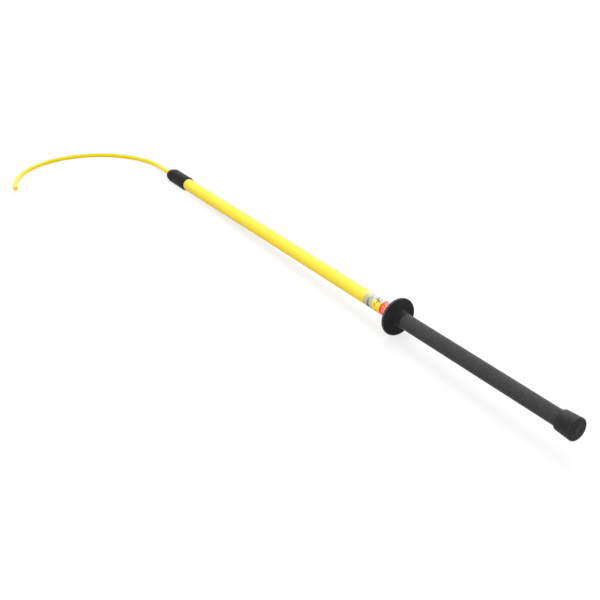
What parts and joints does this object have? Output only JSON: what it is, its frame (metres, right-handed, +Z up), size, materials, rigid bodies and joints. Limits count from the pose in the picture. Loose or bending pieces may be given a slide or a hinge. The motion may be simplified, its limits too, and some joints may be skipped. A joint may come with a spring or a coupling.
{
  "type": "rescue pole",
  "caption": "Insulated rescue pole: foam-filled yellow tube with a wide covered body hook, disc hand guard, ribbed grip and pull-off rubber ferrule.",
  "frame": {"origin": "middle of the flat disc on the ferrule's end face, on the pole's axis", "axes": "+X along the pole from the butt to the hook, +Z up with the hook lying flat, +Y the side the hook bends to"},
  "size_m": [1.8746, 0.4661, 0.0878],
  "materials": {
    "glass_fibre": "satin",
    "foam": "matte",
    "plug_plastic": "satin",
    "seal_rubber": "matte",
    "grip_rubber": "matte",
    "guard_rubber": "matte",
    "ferrule_rubber": "matte",
    "collar_plastic": "satin",
    "sheath_plastic": "satin",
    "zinc_steel": "satin",
    "red_film": "satin",
    "label_film": "satin"
  },
  "bodies": {
    "pole": {"pole_tube": "glass_fibre", "foam_core": "foam", "butt_plug": "plug_plastic", "butt_seal_ring": "seal_rubber", "head_plug": "plug_plastic", "head_seal_ring": "seal_rubber", "grip_sleeve": "grip_rubber", "hand_guard": "guard_rubber", "guard_stop_ring": "plug_plastic", "red_band": "red_film", "rating_label": "label_film", "mark_line": "label_film", "head_collar": "collar_plastic", "nose_seal_ring": "seal_rubber", "hook_core": "zinc_steel", "hook_sheath": "sheath_plastic", "hook_tip_plug": "sheath_plastic", "shank_nut": "zinc_steel", "shank_washer": "zinc_steel", "cross_pin": "zinc_steel"},
    "ferrule": {"ferrule": "ferrule_rubber", "ferrule_washer": "zinc_steel"}
  },
  "joints": [
    {"name": "ferrule_pull", "type": "slide", "parent": "pole", "child": "ferrule", "axis": [-1, 0, 0], "range_m": [0, 0.04]}
  ]
}
